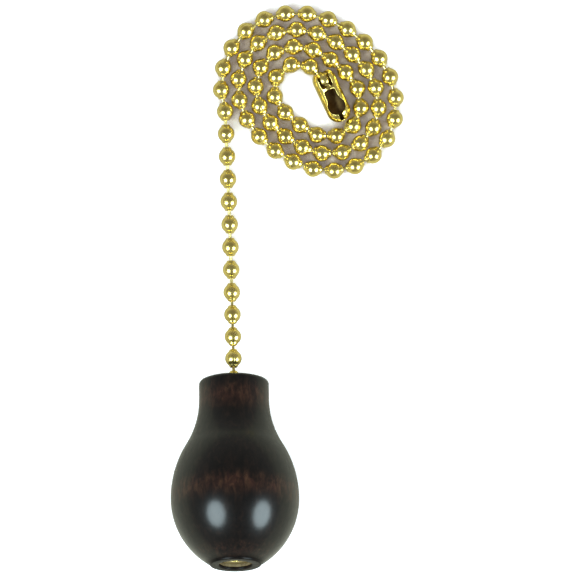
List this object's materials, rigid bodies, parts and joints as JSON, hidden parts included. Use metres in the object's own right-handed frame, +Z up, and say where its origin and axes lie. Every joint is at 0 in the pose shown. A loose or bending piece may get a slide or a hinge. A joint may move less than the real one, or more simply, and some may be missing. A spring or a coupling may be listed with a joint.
{
  "type": "pull cord for a pull switch",
  "caption": "Brass ball chain pull with a turned pear-shaped wooden knob at one end and an open brass coupling at the other, lying part coiled.",
  "frame": {"origin": "on the table under the middle of the whole pull", "axes": "+Z up out of the table, +Y from the knob towards the coil, +X to the right with the knob at the bottom"},
  "size_m": [0.0445, 0.1081, 0.0249],
  "materials": {
    "bead_brass": "polished, hollow pressed beads",
    "wire_brass": "drawn wire, lightly tarnished",
    "coupling_brass": "polished pressed sheet",
    "ring_brass": "turned, dull",
    "wood": "dark walnut stain under gloss lacquer"
  },
  "bodies": {
    "coil": {"coil_beads_turn_1": "bead_brass", "coil_beads_turn_2": "bead_brass", "coil_beads_turn_3": "bead_brass", "coil_beads_turn_4": "bead_brass", "coil_links_turn_1": "wire_brass", "coil_links_turn_2": "wire_brass", "coil_links_turn_3": "wire_brass", "coil_links_turn_4": "wire_brass", "captured_bead": "bead_brass"},
    "coupling": {"coupling_body": "coupling_brass"},
    "link_01": {"run_link_01": "wire_brass"},
    "bead_01": {"run_bead_01": "bead_brass"},
    "link_02": {"run_link_02": "wire_brass"},
    "bead_02": {"run_bead_02": "bead_brass"},
    "link_03": {"run_link_03": "wire_brass"},
    "bead_03": {"run_bead_03": "bead_brass"},
    "link_04": {"run_link_04": "wire_brass"},
    "bead_04": {"run_bead_04": "bead_brass"},
    "link_05": {"run_link_05": "wire_brass"},
    "bead_05": {"run_bead_05": "bead_brass"},
    "link_06": {"run_link_06": "wire_brass"},
    "bead_06": {"run_bead_06": "bead_brass"},
    "link_07": {"run_link_07": "wire_brass"},
    "bead_07": {"run_bead_07": "bead_brass"},
    "link_08": {"run_link_08": "wire_brass"},
    "bead_08": {"run_bead_08": "bead_brass"},
    "link_09": {"run_link_09": "wire_brass"},
    "bead_09": {"run_bead_09": "bead_brass"},
    "link_10": {"run_link_10": "wire_brass"},
    "bead_10": {"run_bead_10": "bead_brass"},
    "link_11": {"run_link_11": "wire_brass"},
    "bead_11": {"run_bead_11": "bead_brass"},
    "link_12": {"run_link_12": "wire_brass"},
    "tail": {"mouth_bead": "bead_brass", "tail_beads": "bead_brass", "tail_links": "wire_brass", "last_bead": "bead_brass"},
    "stop": {"stop_ring": "ring_brass"},
    "knob": {"knob": "wood"}
  },
  "joints": [
    {"name": "coupling_lift", "type": "hinge", "parent": "coil", "child": "coupling", "pos_m": [0.00705, 0.03967, 0.0021], "axis": [-0.9063, -0.4226, 0], "range_deg": [0, 20]},
    {"name": "link_01_swing", "type": "hinge", "parent": "coil", "child": "link_01", "pos_m": [-0.01192, 0.03281, 0.0016], "axis": [0, 0, 1], "range_deg": [-15, 10]},
    {"name": "bead_01_lift", "type": "hinge", "parent": "link_01", "child": "bead_01", "pos_m": [-0.01181, 0.03041, 0.0016], "axis": [-0.999, -0.044, 0], "range_deg": [-8, 12]},
    {"name": "link_02_swing", "type": "hinge", "parent": "bead_01", "child": "link_02", "pos_m": [-0.01173, 0.02852, 0.0016], "axis": [0, 0, 1], "range_deg": [-15, 10]},
    {"name": "bead_02_lift", "type": "hinge", "parent": "link_02", "child": "bead_02", "pos_m": [-0.01163, 0.02612, 0.0016], "axis": [-0.9991, -0.0419, 0], "range_deg": [-8, 12]},
    {"name": "link_03_swing", "type": "hinge", "parent": "bead_02", "child": "link_03", "pos_m": [-0.01155, 0.02419, 0.0016], "axis": [0, 0, 1], "range_deg": [-15, 10]},
    {"name": "bead_03_lift", "type": "hinge", "parent": "link_03", "child": "bead_03", "pos_m": [-0.01145, 0.02179, 0.0016], "axis": [-0.9992, -0.0398, 0], "range_deg": [-8, 12]},
    {"name": "link_04_swing", "type": "hinge", "parent": "bead_03", "child": "link_04", "pos_m": [-0.01138, 0.01986, 0.0016], "axis": [0, 0, 1], "range_deg": [-15, 10]},
    {"name": "bead_04_lift", "type": "hinge", "parent": "link_04", "child": "bead_04", "pos_m": [-0.01129, 0.01746, 0.0016], "axis": [-0.9993, -0.0378, 0], "range_deg": [-8, 12]},
    {"name": "link_05_swing", "type": "hinge", "parent": "bead_04", "child": "link_05", "pos_m": [-0.01122, 0.01553, 0.0016], "axis": [0, 0, 1], "range_deg": [-15, 10]},
    {"name": "bead_05_lift", "type": "hinge", "parent": "link_05", "child": "bead_05", "pos_m": [-0.01113, 0.01313, 0.0016], "axis": [-0.9994, -0.0357, 0], "range_deg": [-8, 12]},
    {"name": "link_06_swing", "type": "hinge", "parent": "bead_05", "child": "link_06", "pos_m": [-0.01106, 0.01119, 0.0016], "axis": [0, 0, 1], "range_deg": [-15, 10]},
    {"name": "bead_06_lift", "type": "hinge", "parent": "link_06", "child": "bead_06", "pos_m": [-0.01098, 0.0088, 0.0016], "axis": [-0.9994, -0.0336, 0], "range_deg": [-8, 12]},
    {"name": "link_07_swing", "type": "hinge", "parent": "bead_06", "child": "link_07", "pos_m": [-0.01092, 0.00686, 0.0016], "axis": [0, 0, 1], "range_deg": [-15, 10]},
    {"name": "bead_07_lift", "type": "hinge", "parent": "link_07", "child": "bead_07", "pos_m": [-0.01085, 0.00446, 0.0016], "axis": [-0.9995, -0.0315, 0], "range_deg": [-8, 12]},
    {"name": "link_08_swing", "type": "hinge", "parent": "bead_07", "child": "link_08", "pos_m": [-0.01079, 0.00253, 0.00167], "axis": [0, 0, 1], "range_deg": [-15, 10]},
    {"name": "bead_08_lift", "type": "hinge", "parent": "link_08", "child": "bead_08", "pos_m": [-0.01072, 0.00014, 0.00183], "axis": [-0.9996, -0.0294, 0], "range_deg": [-8, 12]},
    {"name": "link_09_swing", "type": "hinge", "parent": "bead_08", "child": "link_09", "pos_m": [-0.01066, -0.00178, 0.00207], "axis": [0, 0, 1], "range_deg": [-15, 10]},
    {"name": "bead_09_lift", "type": "hinge", "parent": "link_09", "child": "bead_09", "pos_m": [-0.0106, -0.00414, 0.0025], "axis": [-0.9996, -0.0273, 0], "range_deg": [-8, 12]},
    {"name": "link_10_swing", "type": "hinge", "parent": "bead_09", "child": "link_10", "pos_m": [-0.01055, -0.00603, 0.00292], "axis": [0, 0, 1], "range_deg": [-15, 10]},
    {"name": "bead_10_lift", "type": "hinge", "parent": "link_10", "child": "bead_10", "pos_m": [-0.01049, -0.00835, 0.00352], "axis": [-0.9997, -0.0253, 0], "range_deg": [-8, 12]},
    {"name": "link_11_swing", "type": "hinge", "parent": "bead_10", "child": "link_11", "pos_m": [-0.01044, -0.01021, 0.00404], "axis": [0, 0, 1], "range_deg": [-15, 10]},
    {"name": "bead_11_lift", "type": "hinge", "parent": "link_11", "child": "bead_11", "pos_m": [-0.01039, -0.01251, 0.00472], "axis": [-0.9997, -0.0233, 0], "range_deg": [-8, 12]},
    {"name": "link_12_swing", "type": "hinge", "parent": "bead_11", "child": "link_12", "pos_m": [-0.01035, -0.01437, 0.00526], "axis": [0, 0, 1], "range_deg": [-15, 10]},
    {"name": "tail_lift", "type": "hinge", "parent": "link_12", "child": "tail", "pos_m": [-0.0103, -0.01667, 0.00594], "axis": [-0.9998, -0.0213, 0], "range_deg": [-8, 12]},
    {"name": "knob_spin", "type": "hinge", "parent": "tail", "child": "stop", "pos_m": [-0.00994, -0.05024, 0.01539], "axis": [0.0101, -0.9626, 0.2706], "continuous": true},
    {"name": "knob_slide", "type": "slide", "parent": "stop", "child": "knob", "axis": [-0.0101, 0.9626, -0.2706], "range_m": [0, 0.0025]}
  ]
}
